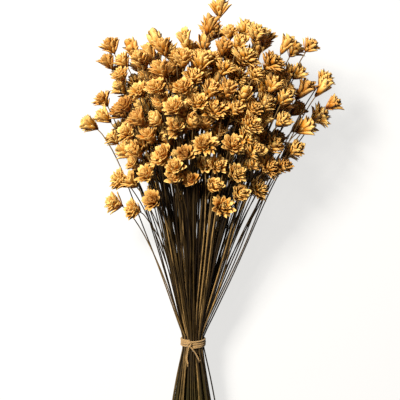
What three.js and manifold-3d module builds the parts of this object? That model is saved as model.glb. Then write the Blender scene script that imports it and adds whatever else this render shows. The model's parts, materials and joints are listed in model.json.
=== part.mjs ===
// A bunch of dried flowers lying on a table. Each flower is one wiry, leafless stem that ends in one
// papery head, and a twine tie holds all the stems at the waist of the bunch.
//
// Millimetres. +X runs across the bunch, +Y along it from the cut ends to the heads, +Z up from the table.
// Flowers whose stems are pinched together under the tie are joined there into one sprig. The flowers
// that stand clear of the dome are single ones.
import * as THREE from "three";
import { mergeVertices } from "three/addons/utils/BufferGeometryUtils.js";
import Module from "manifold-3d";

// How many flowers there are.
const SPRIG_COUNT = 39;
const FLOWERS_PER_SPRIG = 4;

// A stem has three flat sides. Its radius is measured to the corners.
const STEM_RADIUS = 0.75;
const STEM_SIDES = 3;

// A head is a funnel that widens to a shoulder, with a low crown on top.
const HEAD_RADIUS = 8.8;
const HEAD_SIDES = 6;
const FUNNEL_LENGTH = 12.5;
const CROWN_RING_RADIUS = 5.4;
const CROWN_RING_RISE = 3.6;
const CROWN_TIP_RISE = 5.2;
const STEM_IN_FUNNEL = 5; // how far the stem runs on inside the funnel
const SMALLEST_HEAD = 0.86; // the smallest and largest heads, as shares of the size above
const LARGEST_HEAD = 1.1;

// The bunch: its waist at the tie, and how fast it opens from there.
const WAIST_RADIUS = 11.2;
const STEMS_BELOW_TIE = 96;
const UNEVEN_CUT = 4; // the longest and shortest cut ends differ by twice this
const TIE_HALF_HEIGHT = 9; // the stems run parallel this far above and below the middle of the tie
const FAN_WIDTH_SLOPE = 0.36;
const FAN_DEPTH_SLOPE = 0.28;
const FAN_CURL = 2.6e-6; // the outer stems arch outwards with the cube of their height
const FOOT_WIDTH_SLOPE = 0.27;
const FOOT_DEPTH_SLOPE = 0.19;
const TWIST = 0.0011; // radians of turn for each millimetre along the bunch
const LEAN = 2.2e-4; // the heads lean to +X with the square of their height

// The dome of heads, by height above the tie.
const DOME_TOP = 316;
const DOME_DROP_AT_SIDES = 96;
const DOME_DROP_AT_FRONT = 112;
const MEMBER_SPACING = 0.36; // of a sprig's share of the bunch, between its middle and its stems
const LAYER_STEP = 17; // the flowers of a sprig end this much below one another
const UNEVEN_DOME = 13;
const REST_HEIGHT = 222; // where the underside of the dome lies on the table
const DOME_CORE_HEIGHT = 150; // heads face away from this point on the centre line
const LAST_STRETCH = 0.15; // the share of a stem over which its run towards the head is measured

// Heights at which a stem may bend.
const BENDS = [110, 205];
const LAST_BEND_BELOW_NECK = 24;

// Clearances.
const GAP = 0.3;
const PINCH = 0.48 * STEM_RADIUS; // from a sprig's middle to its stems under the tie, so near that they join
const HEAD_ROOM = 8.5; // a ball of this radius about the shoulder holds an ordinary head
const SLANT_ROOM = 1.2; // stems pass a head at a slant, so they keep this much further off

// The tie: turns of twine with a knot on the upper side and two short ends.
const TWINE_RADIUS = 1.1;
const TWINE_TURNS = 4;
const TWINE_SIDES = 6;
const TIE_SEGMENTS = 24;
const KNOT_RADIUS = 2.9;
const KNOT_SIDEWAYS = -4;
const KNOT_SEGMENTS = 8;
// The twine's two ends, as steps from the middle of the knot.
const TWINE_ENDS = [
  [[-1.2, -6, 1.6], [-2.2, -13, 1.8], [-0.6, -20, 2.6]],
  [[3.5, -5, 1.2], [7, -11, 0.6], [9.5, -16, 0.8]],
];

// Single flowers that stand clear of the dome: across, along from the tie, and up from the centre line.
const STRAYS = [
  [26, 337, 6], // the topmost head
  [-86, 284, 4],
  [-62, 299, -4],
  [-106, 222, 0], // far left
  [-82, 143, 14], // the two low heads on the left
  [-62, 136, 22],
  [-76, 166, 20],
  [-41, 145, 36],
  [-7, 190, 52], // low heads on the upper side
  [25, 180, 46],
  [40, 200, 50],
  [53, 317, 0],
  [72, 307, 6],
  [107, 272, 6],
  [129, 256, 0],
  [143, 242, -6], // far right
  [115, 218, 12],
  [130, 231, -18],
  [66, 156, 16], // low heads on the right
  [76, 178, 26],
];

const RANDOM_SEED = 20;
const SETTLE_PASSES = 260;
const GOLDEN_ANGLE = Math.PI * (3 - Math.sqrt(5));

const wasm = await Module();
wasm.setup();

// A repeatable random number from 0 to 1: the minimal standard generator.
const RANDOM_MULTIPLIER = 16807;
const RANDOM_MODULUS = 2 ** 31 - 1;
let randomState = RANDOM_SEED;
function random() {
  randomState = (randomState * RANDOM_MULTIPLIER) % RANDOM_MODULUS;
  return randomState / RANDOM_MODULUS;
}

function randomBetween(low, high) {
  return low + (high - low) * random();
}

// ---- The shape of the bunch, by height y above the tie ----

function halfWidth(y) {
  const slope = y > 0 ? FAN_WIDTH_SLOPE : FOOT_WIDTH_SLOPE;
  const curl = y > 0 ? FAN_CURL * y ** 3 : 0;
  return Math.hypot(WAIST_RADIUS, slope * y) + curl;
}

function halfDepth(y) {
  const slope = y > 0 ? FAN_DEPTH_SLOPE : FOOT_DEPTH_SLOPE;
  return Math.hypot(WAIST_RADIUS, slope * y);
}

// The centre line rises so that both the cut ends and the underside of the dome lie on the table.
const FOOT_CENTRE_Z = halfDepth(-STEMS_BELOW_TIE) + STEM_RADIUS;
const DOME_CENTRE_Z = halfDepth(REST_HEIGHT) + HEAD_RADIUS;
const RISE = (DOME_CENTRE_Z - FOOT_CENTRE_Z) / (REST_HEIGHT + STEMS_BELOW_TIE);

function centreX(y) {
  return y > 0 ? LEAN * y * y : 0;
}

function centreZ(y) {
  return FOOT_CENTRE_Z + RISE * (y + STEMS_BELOW_TIE);
}

// Where the stem of slot (u, v) in the unit disc passes at height y.
function flowPoint(u, v, y) {
  const turn = TWIST * y;
  const across = u * Math.cos(turn) - v * Math.sin(turn);
  const up = u * Math.sin(turn) + v * Math.cos(turn);
  return new THREE.Vector3(centreX(y) + across * halfWidth(y), y, centreZ(y) + up * halfDepth(y));
}

// ---- Flowers: a slot in the bunch, a place under the tie and a head ----

function nodeName(kind, index) {
  return kind + "_" + String(index + 1).padStart(2, "0");
}

function domeHeight(u, v) {
  return DOME_TOP - DOME_DROP_AT_SIDES * u * u - DOME_DROP_AT_FRONT * v * v;
}

// The places of sprigs and single flowers under the tie, spread evenly over the unit disc.
function makePlaces() {
  const count = SPRIG_COUNT + STRAYS.length;
  return Array.from({ length: count }, (_, i) => {
    const out = Math.sqrt((i + 0.5) / count);
    return { u: out * Math.cos(i * GOLDEN_ANGLE), v: out * Math.sin(i * GOLDEN_ANGLE), taken: false };
  });
}

function makeFlower(place, node, du, dv, pinch) {
  return {
    node,
    u: place.u + du,
    v: place.v + dv,
    pinchX: place.u * WAIST_RADIUS + pinch * du,
    pinchZ: place.v * WAIST_RADIUS + pinch * dv,
    cut: -STEMS_BELOW_TIE + randomBetween(-UNEVEN_CUT, UNEVEN_CUT),
    size: randomBetween(SMALLEST_HEAD, LARGEST_HEAD),
    stray: false,
  };
}

// Each stray takes the place from which its stem runs to it most directly.
function makeStrays(places) {
  return STRAYS.map(([across, along, up], i) => {
    const head = new THREE.Vector3(across, along, centreZ(along) + up);
    const offHead = (place) => flowPoint(place.u, place.v, along).distanceTo(head);
    const free = places.filter((place) => !place.taken).sort((a, b) => offHead(a) - offHead(b));
    free[0].taken = true;
    return { ...makeFlower(free[0], nodeName("flower", i), 0, 0, 0), head, stray: true };
  });
}

function makeSprigs(places) {
  const flowers = [];
  const spacing = MEMBER_SPACING * Math.sqrt(Math.PI / places.length);
  const free = places.filter((place) => !place.taken);
  free.forEach((place, sprig) => {
    const firstTurn = randomBetween(0, 2 * Math.PI);
    for (let i = 0; i < FLOWERS_PER_SPRIG; i += 1) {
      const turn = firstTurn + (i * 2 * Math.PI) / FLOWERS_PER_SPRIG;
      const du = spacing * Math.cos(turn);
      const dv = spacing * Math.sin(turn);
      const flower = makeFlower(place, nodeName("sprig", sprig), du, dv, PINCH / spacing);
      const uneven = randomBetween(-UNEVEN_DOME, UNEVEN_DOME);
      const height = domeHeight(flower.u, flower.v) - i * LAYER_STEP + uneven;
      flower.head = flowPoint(flower.u, flower.v, height);
      flowers.push(flower);
    }
  });
  return flowers;
}

// A point on a flower's stem: its slot's flow, drawn over to where the head is with the cube of the height.
function stemPoint(flower, y) {
  if (Math.abs(y) <= TIE_HALF_HEIGHT) {
    return new THREE.Vector3(flower.pinchX, y, centreZ(y) + flower.pinchZ);
  }
  const point = flowPoint(flower.u, flower.v, y);
  if (y > 0) {
    const pull = Math.min(1, y / flower.head.y) ** 3;
    const off = flower.head.clone().sub(flowPoint(flower.u, flower.v, flower.head.y));
    point.x += off.x * pull;
    point.z += off.z * pull;
  }
  return point;
}

function roomOf(flower) {
  return HEAD_ROOM * flower.size;
}

// Moves two points apart until they are `least` away from each other.
function pushApart(a, b, aMoves, bMoves, least) {
  const away = a.clone().sub(b);
  const distance = away.length();
  if (distance >= least || distance === 0 || aMoves + bMoves === 0) return;
  away.multiplyScalar((least - distance) / distance / (aMoves + bMoves));
  a.addScaledVector(away, aMoves);
  b.addScaledVector(away, -bMoves);
}

// A head keeps clear of every stem that passes it: the head gives way, and so does the stem's own head.
function keepHeadOffStem(flower, other) {
  if (other.head.y < flower.head.y) return;
  const stem = stemPoint(other, flower.head.y);
  const before = stem.clone();
  const least = (roomOf(flower) + STEM_RADIUS + GAP) * SLANT_ROOM;
  pushApart(flower.head, stem, flower.stray ? 0 : 1, other.stray ? 0 : 1, least);
  other.head.x += stem.x - before.x;
  other.head.z += stem.z - before.z;
}

// Heads and stems give way to one another until none overlap, as they do when a bunch is gathered.
function settle(flowers) {
  for (let pass = 0; pass < SETTLE_PASSES; pass += 1) {
    for (let i = 0; i < flowers.length; i += 1) {
      for (let j = i + 1; j < flowers.length; j += 1) {
        const a = flowers[i];
        const b = flowers[j];
        const least = roomOf(a) + roomOf(b) + GAP;
        pushApart(a.head, b.head, a.stray ? 0 : 1, b.stray ? 0 : 1, least);
        keepHeadOffStem(a, b);
        keepHeadOffStem(b, a);
      }
    }
    for (const flower of flowers) {
      flower.head.z = Math.max(flower.head.z, roomOf(flower));
    }
  }
}

// The way a head faces: between the run of its stem and straight out of the dome, never into the table.
function facing(flower) {
  const stem = flower.head.clone().sub(stemPoint(flower, flower.head.y * (1 - LAST_STRETCH))).normalize();
  const core = new THREE.Vector3(centreX(DOME_CORE_HEIGHT), DOME_CORE_HEIGHT, centreZ(DOME_CORE_HEIGHT));
  const out = flower.head.clone().sub(core).normalize();
  const direction = stem.add(out).normalize();
  direction.z = Math.max(direction.z, 0);
  return direction.normalize();
}

// ---- Solids ----

// A closed three.js geometry as a solid that can be joined with others.
function toSolid(geometry) {
  const bare = geometry.clone();
  bare.deleteAttribute("normal");
  bare.deleteAttribute("uv");
  const merged = mergeVertices(bare, 1e-4);
  return new wasm.Manifold(
    new wasm.Mesh({
      numProp: 3,
      vertProperties: merged.attributes.position.array,
      triVerts: new Uint32Array(merged.index.array),
    }),
  );
}

function toGeometry(solid) {
  const mesh = solid.getMesh();
  const geometry = new THREE.BufferGeometry();
  geometry.setAttribute("position", new THREE.BufferAttribute(mesh.vertProperties, 3));
  geometry.setIndex(new THREE.BufferAttribute(mesh.triVerts, 1));
  geometry.computeVertexNormals();
  return geometry;
}

// A path that runs straight from point to point, with one extrusion step for each stretch.
class PolylinePath extends THREE.Curve {
  constructor(points) {
    super();
    this.points = points;
  }

  getPoint(t) {
    const place = t * (this.points.length - 1);
    const i = Math.min(Math.floor(place), this.points.length - 2);
    return this.points[i].clone().lerp(this.points[i + 1], place - i);
  }

  getPointAt(t) {
    return this.getPoint(t);
  }
}

function rodAlong(points, radius, sides) {
  const section = new THREE.Shape();
  for (let i = 0; i < sides; i += 1) {
    const angle = (i * 2 * Math.PI) / sides;
    const corner = [radius * Math.cos(angle), radius * Math.sin(angle)];
    if (i === 0) section.moveTo(...corner);
    else section.lineTo(...corner);
  }
  section.closePath();
  const path = new PolylinePath(points);
  const options = { steps: points.length - 1, extrudePath: path, bevelEnabled: false, curveSegments: 1 };
  return new THREE.ExtrudeGeometry(section, options);
}

function headGeometry(size) {
  const profile = [
    [0, -FUNNEL_LENGTH],
    [HEAD_RADIUS, 0],
    [CROWN_RING_RADIUS, CROWN_RING_RISE],
    [0, CROWN_TIP_RISE],
  ].map(([radius, rise]) => new THREE.Vector2(radius * size, rise * size));
  return new THREE.LatheGeometry(profile, HEAD_SIDES);
}

function flowerSolid(flower) {
  const direction = facing(flower);
  const placing = new THREE.Quaternion().setFromUnitVectors(new THREE.Vector3(0, 1, 0), direction);
  const head = headGeometry(flower.size).applyQuaternion(placing);
  head.translate(flower.head.x, flower.head.y, flower.head.z);

  const neck = flower.head.clone().addScaledVector(direction, -FUNNEL_LENGTH * flower.size);
  const inside = neck.clone().addScaledVector(direction, STEM_IN_FUNNEL);
  const bends = BENDS.filter((y) => y < neck.y - LAST_BEND_BELOW_NECK);
  const heights = [flower.cut, -TIE_HALF_HEIGHT, TIE_HALF_HEIGHT, ...bends];
  const points = [...heights.map((y) => stemPoint(flower, y)), neck, inside];
  return toSolid(head).add(toSolid(rodAlong(points, STEM_RADIUS, STEM_SIDES)));
}

const strawMaterial = new THREE.MeshStandardMaterial({ color: 0xd09a45, roughness: 0.75, metalness: 0 });
const twineMaterial = new THREE.MeshStandardMaterial({ color: 0xb9935a, roughness: 0.9, metalness: 0 });

// One mesh for each sprig and each single flower.
function flowerMeshes(flowers) {
  const names = [...new Set(flowers.map((flower) => flower.node))];
  return names.map((name) => {
    const members = flowers.filter((flower) => flower.node === name).map(flowerSolid);
    const mesh = new THREE.Mesh(toGeometry(members.reduce((all, one) => all.add(one))), strawMaterial);
    mesh.name = name;
    return mesh;
  });
}

// The tie fits round the outermost stems.
const TIE_INNER_RADIUS = WAIST_RADIUS + PINCH + STEM_RADIUS + GAP;

// The turns lie side by side about +Y: a ring with a flat-topped bulge for each turn.
function tieRing() {
  const outer = TIE_INNER_RADIUS + 2 * TWINE_RADIUS;
  const groove = outer - 0.7 * TWINE_RADIUS;
  const bulge = 0.4 * TWINE_RADIUS;
  const top = TWINE_TURNS * TWINE_RADIUS;
  const profile = [[TIE_INNER_RADIUS, top], [TIE_INNER_RADIUS, -top]];
  for (let turn = 0; turn < TWINE_TURNS; turn += 1) {
    const middle = -top + (2 * turn + 1) * TWINE_RADIUS;
    profile.push([groove, middle - TWINE_RADIUS], [outer, middle - bulge], [outer, middle + bulge]);
  }
  profile.push([groove, top], [TIE_INNER_RADIUS, top]);
  return new THREE.LatheGeometry(profile.map((point) => new THREE.Vector2(...point)), TIE_SEGMENTS);
}

// The knot sits on the upper side of the ring.
function knotCentre() {
  const seat = TIE_INNER_RADIUS + TWINE_RADIUS;
  const up = Math.sqrt(seat * seat - KNOT_SIDEWAYS * KNOT_SIDEWAYS) + TWINE_RADIUS;
  return new THREE.Vector3(KNOT_SIDEWAYS, 0, up);
}

function twineEnd(offsets) {
  const start = knotCentre();
  const points = offsets.map((offset) => start.clone().add(new THREE.Vector3(...offset)));
  return rodAlong([start, ...points], TWINE_RADIUS, TWINE_SIDES);
}

function tieMesh() {
  const knot = new THREE.SphereGeometry(KNOT_RADIUS, KNOT_SEGMENTS, KNOT_SEGMENTS - 2);
  knot.translate(...knotCentre());
  const pieces = [tieRing(), knot, ...TWINE_ENDS.map(twineEnd)].map(toSolid);
  const joined = pieces.reduce((all, one) => all.add(one));
  const mesh = new THREE.Mesh(toGeometry(joined), twineMaterial);
  mesh.name = "tie";
  mesh.position.set(0, 0, centreZ(0));
  mesh.rotation.x = Math.atan(RISE);
  return mesh;
}

const places = makePlaces();
const strays = makeStrays(places);
const flowers = [...strays, ...makeSprigs(places)];
settle(flowers);

const bunch = new THREE.Group();
bunch.add(...flowerMeshes(flowers), tieMesh());

// The origin is the middle of the space that the bunch takes up, on the table.
const box = new THREE.Box3().setFromObject(bunch, true);
const middle = box.getCenter(new THREE.Vector3());
bunch.position.set(-middle.x, -middle.y, -box.min.z);

export default bunch;
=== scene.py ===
"""A bunch of dried flowers: papery heads on wiry stems, tied with twine, lying on a pale table.

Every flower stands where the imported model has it. A flower's head is read from its node: the six-sided
crown on top of each funnel gives the head's place, its size and the way it faces.
"""

import json
import math
import random

import bmesh
import bpy
from bpy.props import FloatProperty, FloatVectorProperty, IntProperty, PointerProperty
from bpy.types import Operator, Panel, PropertyGroup
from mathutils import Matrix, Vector

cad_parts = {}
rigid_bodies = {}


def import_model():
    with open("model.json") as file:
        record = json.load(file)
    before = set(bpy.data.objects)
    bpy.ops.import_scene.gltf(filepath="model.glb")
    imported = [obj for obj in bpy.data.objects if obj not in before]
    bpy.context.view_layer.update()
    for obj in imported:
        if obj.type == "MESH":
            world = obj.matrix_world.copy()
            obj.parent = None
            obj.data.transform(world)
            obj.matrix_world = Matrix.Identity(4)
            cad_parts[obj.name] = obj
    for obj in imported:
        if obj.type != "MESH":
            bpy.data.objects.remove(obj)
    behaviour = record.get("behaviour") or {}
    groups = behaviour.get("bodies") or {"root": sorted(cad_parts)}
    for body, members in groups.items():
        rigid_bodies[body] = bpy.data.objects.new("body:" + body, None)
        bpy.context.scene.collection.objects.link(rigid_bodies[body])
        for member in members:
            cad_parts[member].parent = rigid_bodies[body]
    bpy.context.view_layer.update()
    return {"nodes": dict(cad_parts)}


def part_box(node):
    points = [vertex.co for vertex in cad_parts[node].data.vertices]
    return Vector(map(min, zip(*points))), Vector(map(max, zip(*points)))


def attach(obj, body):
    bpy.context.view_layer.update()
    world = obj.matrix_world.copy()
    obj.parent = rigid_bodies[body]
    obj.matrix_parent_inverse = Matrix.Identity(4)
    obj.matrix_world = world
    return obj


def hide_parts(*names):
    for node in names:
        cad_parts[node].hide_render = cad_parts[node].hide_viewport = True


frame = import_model()

bl_info = {
    "name": "Dried flower bunch",
    "version": (1, 0, 0),
    "blender": (4, 5, 0),
    "location": "3D Viewport > Sidebar > Dried flowers",
    "description": "Papery flower heads on wiry stems, held by a twine tie",
    "category": "Add Mesh",
}

MM = 0.001
GOLDEN_ANGLE = math.pi * (3 - math.sqrt(5))
SEED = 11

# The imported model's own measures that its boxes don't give.
CROWN_SIDES = 6
CROWN_RING_RADIUS = 5.4 * MM
CROWN_TIP_RISE = 5.2 * MM
FUNNEL_LENGTH = 12.5 * MM
TIE_INNER_RADIUS = 12.6 * MM
TURN_RADIUS = 12.0 * MM  # the real twine bites into the stems
TIE_WIDTH = 8.8 * MM
TWINE_RADIUS = 1.1 * MM
TIE_TILT = math.radians(8.9)
FLOWER_NODES = sorted(name for name in frame["nodes"] if name != "tie")

FLOOR_GAP = 0.3 * MM
SQUASH_HEIGHT = 3 * MM


# ---------------------------------------------------------------------------------------------------
# Settings that a user would change
# ---------------------------------------------------------------------------------------------------


def srgb(hex_colour):
    """A linear colour from an sRGB hex value."""
    channels = [int(hex_colour[i : i + 2], 16) / 255 for i in (1, 3, 5)]
    return [c / 12.92 if c <= 0.04045 else ((c + 0.055) / 1.055) ** 2.4 for c in channels]


def colour_property(name, description, hex_colour):
    return FloatVectorProperty(
        name=name, description=description, subtype="COLOR", size=3, min=0, max=1, default=srgb(hex_colour)
    )


class HeadSettings(PropertyGroup):
    head_scale: FloatProperty(
        name="Head scale", description="Size of every head against its packed funnel", default=1.22
    )
    unevenness: FloatProperty(
        name="Unevenness", description="How much the bracts of a head differ", default=1.0, min=0
    )
    bract_thickness: FloatProperty(
        name="Bract thickness",
        description="Half of it, at a bract's middle, as a share of its length",
        default=0.022,
    )
    # The dark base of the bracts is partly their own colour and partly painted shade deep in the head.
    shade: colour_property("Shade", "Base of the bracts, deep in the head", "#582603")
    body: colour_property("Body", "Middle of the bracts", "#B67618")
    tip: colour_property("Tip", "Papery tips and rims", "#E0BB70")
    rust: colour_property("Rust tint", "Over the darkest heads", "#CDB294")
    amber: colour_property("Amber tint", "Over most heads", "#EFE0CE")
    straw: colour_property("Straw tint", "Over the palest heads", "#FFFBF2")


class StemSettings(PropertyGroup):
    foot_radius: FloatProperty(
        name="Foot radius", description="At the cut end", default=0.78 * MM, unit="LENGTH"
    )
    neck_radius: FloatProperty(
        name="Neck radius", description="Just below the head", default=0.56 * MM, unit="LENGTH"
    )
    sides: IntProperty(name="Sides", description="Faces round a stem", default=7, min=3)
    wander: FloatProperty(
        name="Wander",
        description="How far a stem strays from its smooth run",
        default=5.0 * MM,
        unit="LENGTH",
    )
    # These stem colours are deeper than the dried stems' own, as painted shade inside the dense bundle.
    dark: colour_property("Dark", "Most stems", "#150A02")
    mid: colour_property("Mid", "Olive brown stems", "#38290F")
    light: colour_property("Light", "The few straw-coloured stems", "#80643A")
    foot: colour_property("Foot", "Olive, towards the cut ends", "#45401A")


class FillerSettings(PropertyGroup):
    rounds: IntProperty(
        name="Rounds", description="Times each sprig may take one more flower", default=2, min=0
    )
    room: FloatProperty(
        name="Room", description="Least distance from another head", default=12.5 * MM, unit="LENGTH"
    )


class TieSettings(PropertyGroup):
    twine_radius: FloatProperty(
        name="Twine radius", description="Of the three-ply twine", default=1.05 * MM, unit="LENGTH"
    )
    turns: IntProperty(name="Turns", description="Times the twine goes round the stems", default=4, min=1)
    twist: FloatProperty(
        name="Twist", description="Length over which the plies go round once", default=7 * MM, unit="LENGTH"
    )
    fibre: colour_property("Fibre", "Raised fibres of the twine", "#B48D52")
    # Painted shade in the grooves between the plies.
    groove_shade: colour_property("Groove", "Between the plies", "#5C4220")


class StageSettings(PropertyGroup):
    floor: colour_property("Floor", "Plain pale floor", "#FAF9F7")
    key_power: FloatProperty(name="Key power", description="Main light", default=66.0, unit="POWER")
    camera_height: FloatProperty(
        name="Camera height", description="Above the floor", default=1.5, unit="LENGTH"
    )


class BunchSettings(PropertyGroup):
    heads: PointerProperty(name="Heads", description="The papery flower heads", type=HeadSettings)
    stems: PointerProperty(name="Stems", description="The wiry stems", type=StemSettings)
    fillers: PointerProperty(name="Fillers", description="Flowers in the dome's gaps", type=FillerSettings)
    tie: PointerProperty(name="Tie", description="The twine round the stems", type=TieSettings)
    stage: PointerProperty(name="Stage", description="Floor, light and camera", type=StageSettings)


# ---------------------------------------------------------------------------------------------------
# Small helpers
# ---------------------------------------------------------------------------------------------------


def node(tree, kind, inputs=None, **settings):
    """Adds a node. inputs gives each socket, by name or number, a value or the socket that feeds it."""
    made = tree.nodes.new(kind)
    for name, value in settings.items():
        setattr(made, name, value)
    for socket, value in (inputs or {}).items():
        if isinstance(value, bpy.types.NodeSocket):
            tree.links.new(value, made.inputs[socket])
        else:
            made.inputs[socket].default_value = value
    return made


def new_tree(name, sockets):
    """A geometry node tree with named inputs. Returns it and the node that gives the inputs."""
    tree = bpy.data.node_groups.new(name, "GeometryNodeTree")
    tree.interface.new_socket("Geometry", in_out="INPUT", socket_type="NodeSocketGeometry")
    for socket_name, kind in sockets:
        tree.interface.new_socket(socket_name, in_out="INPUT", socket_type="NodeSocket" + kind)
    tree.interface.new_socket("Geometry", in_out="OUTPUT", socket_type="NodeSocketGeometry")
    return tree, tree.nodes.new("NodeGroupInput")


def run_tree(piece, tree, **values):
    """Adds the tree to a piece as a modifier. An input's name is written with _ for each space."""
    modifier = piece.modifiers.new(tree.name, "NODES")
    modifier.node_group = tree
    for item in tree.interface.items_tree:
        key = item.name.replace(" ", "_")
        if item.in_out == "INPUT" and key in values:
            modifier[item.identifier] = values.pop(key)
    if values:
        raise ValueError(f"{tree.name} has no input {sorted(values)}")
    return modifier


def freeze(piece):
    """Turns what the piece's modifiers make into its plain mesh."""
    bpy.context.view_layer.update()
    evaluated = piece.evaluated_get(bpy.context.evaluated_depsgraph_get())
    mesh = bpy.data.meshes.new_from_object(evaluated)
    mesh.name = piece.name
    piece.modifiers.clear()
    piece.data = mesh
    return piece


def mesh_piece(name, points, edges=(), faces=(), collection=None):
    mesh = bpy.data.meshes.new(name)
    mesh.from_pydata(points, edges, faces)
    piece = bpy.data.objects.new(name, mesh)
    (collection or bpy.context.scene.collection).objects.link(piece)
    return piece


def store(mesh, name, values, kind="FLOAT"):
    """Gives every vertex a value."""
    attribute = mesh.attributes.new(name, kind, "POINT")
    if kind == "FLOAT_VECTOR":
        attribute.data.foreach_set("vector", [c for value in values for c in value])
    else:
        attribute.data.foreach_set("value", list(values))


def workshop():
    """A collection for templates, which aren't part of the bunch and are removed at the end."""
    found = bpy.data.collections.get("workshop")
    if found is None:
        found = bpy.data.collections.new("workshop")
        bpy.context.scene.collection.children.link(found)
    return found


def mix(a, b, t):
    return a + (b - a) * t


# ---------------------------------------------------------------------------------------------------
# Materials
# ---------------------------------------------------------------------------------------------------


def new_material(name):
    material = bpy.data.materials.new(name)
    material.use_nodes = True
    tree = material.node_tree
    return material, tree, tree.nodes["Principled BSDF"]


def ramp_stops(ramp, stops):
    """Sets a colour ramp's stops, each a position and a linear colour."""
    elements = ramp.color_ramp.elements
    while len(elements) < len(stops):
        elements.new(0.5)
    for element, (position, colour) in zip(elements, stops):
        element.position = position
        element.color = [*colour, 1]


# A bract's ribs are about 0.3 mm apart, on a bract 4 to 5 mm wide.
RIBS_ACROSS_BRACT = 14
STREAKS_ALONG_BRACT = 1.1
RIB_DEPTH = 0.15 * MM
BRACT_STEP = 40  # how far apart two bracts are in the pattern of ribs


def papery_bract_material(settings):
    """Dried bracts, thin and papery: matt, a little translucent, finely ribbed, pale at rim and tip."""
    material, tree, shader = new_material("dried_papery_bract")
    along = node(tree, "ShaderNodeAttribute", attribute_name="along").outputs["Fac"]
    across = node(tree, "ShaderNodeAttribute", attribute_name="across").outputs["Fac"]
    bract_tone = node(tree, "ShaderNodeAttribute", attribute_name="bract_tone").outputs["Fac"]
    head_tone = node(tree, "ShaderNodeAttribute", attribute_name="head_tone").outputs["Fac"]

    # From a deep amber base, partly the bracts' own colour and partly painted shade deep in the head, to a
    # straw tip. A bract's own tone moves the change up or down.
    shifted = node(tree, "ShaderNodeMath", {0: bract_tone, 1: 0.34, 2: -0.17}, operation="MULTIPLY_ADD")
    place = node(tree, "ShaderNodeMath", {0: along, 1: shifted.outputs[0]}, operation="ADD")
    ramp = node(tree, "ShaderNodeValToRGB", {0: place.outputs[0]})
    shade, body, tip = settings.shade, settings.body, settings.tip
    ramp_stops(ramp, [(0.12, shade), (0.5, body), (0.95, tip)])

    # The thin rim of a bract is painted paler than its ribbed middle, as painted light that shines through
    # the thin rim and catches its edge.
    rim = node(
        tree,
        "ShaderNodeMapRange",
        {0: across, 1: 0.55, 2: 1.0, 3: 0.0, 4: 0.45},
        interpolation_type="SMOOTHSTEP",
    )
    rimmed = node(
        tree, "ShaderNodeMix", {0: rim.outputs[0], 6: ramp.outputs[0], 7: [*tip, 1]}, data_type="RGBA"
    )

    # Ribs run along a bract as dark and light streaks. across grows from the middle to each rim.
    streak_place = node(tree, "ShaderNodeCombineXYZ", {0: across, 1: along, 2: bract_tone})
    streaks_each_way = (RIBS_ACROSS_BRACT / 2, STREAKS_ALONG_BRACT, BRACT_STEP)
    streak_scale = node(
        tree, "ShaderNodeVectorMath", {0: streak_place.outputs[0], 1: streaks_each_way}, operation="MULTIPLY"
    )
    streaks = node(
        tree, "ShaderNodeTexNoise", {"Vector": streak_scale.outputs[0], "Scale": 1.0, "Detail": 3.0}
    )
    streak_tone = node(tree, "ShaderNodeMapRange", {0: streaks.outputs[0], 1: 0.3, 2: 0.7, 3: 0.78, 4: 1.12})

    # Whole heads dry to different tones, from rust through amber to straw.
    head_tint = node(tree, "ShaderNodeValToRGB", {0: head_tone})
    ramp_stops(head_tint, [(0.0, settings.rust), (0.22, settings.amber), (0.9, settings.straw)])
    streaked = node(
        tree,
        "ShaderNodeVectorMath",
        {0: rimmed.outputs[2], "Scale": streak_tone.outputs[0]},
        operation="SCALE",
    )
    toned = node(
        tree, "ShaderNodeVectorMath", {0: streaked.outputs[0], 1: head_tint.outputs[0]}, operation="MULTIPLY"
    )
    tree.links.new(toned.outputs[0], shader.inputs["Base Color"])

    rough = node(tree, "ShaderNodeMapRange", {0: streaks.outputs[0], 1: 0.3, 2: 0.7, 3: 0.66, 4: 0.48})
    tree.links.new(rough.outputs[0], shader.inputs["Roughness"])
    bump = node(
        tree, "ShaderNodeBump", {"Strength": 0.35, "Distance": RIB_DEPTH, "Height": streaks.outputs[0]}
    )
    tree.links.new(bump.outputs[0], shader.inputs["Normal"])
    shader.inputs["Specular IOR Level"].default_value = 0.2
    # A little light passes through a bract and comes out warmer.
    shader.inputs["Subsurface Weight"].default_value = 0.08
    shader.inputs["Subsurface Radius"].default_value = (1.0, 0.55, 0.2)
    shader.inputs["Subsurface Scale"].default_value = 1.2 * MM
    return material


# The patterns of a stem: along one of ordinary length, and round it.
STEM_LENGTH = 385 * MM
BLOTCH_SPACING = 17.5 * MM  # from one dark blotch to the next
GRAIN_LENGTH = 5.5 * MM
GRAIN_ROUND_STEM = 9.0  # streaks, each about half a millimetre wide
RIBS_ROUND_STEM = 5  # as many as a thin dried stem shows at this size
RIB_SHARE = 0.07  # of the ribs in the relief that they make with the grain
GRAIN_DEPTH = 0.12 * MM
STEM_STEP = 90.0  # how far apart two stems are in the patterns


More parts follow.
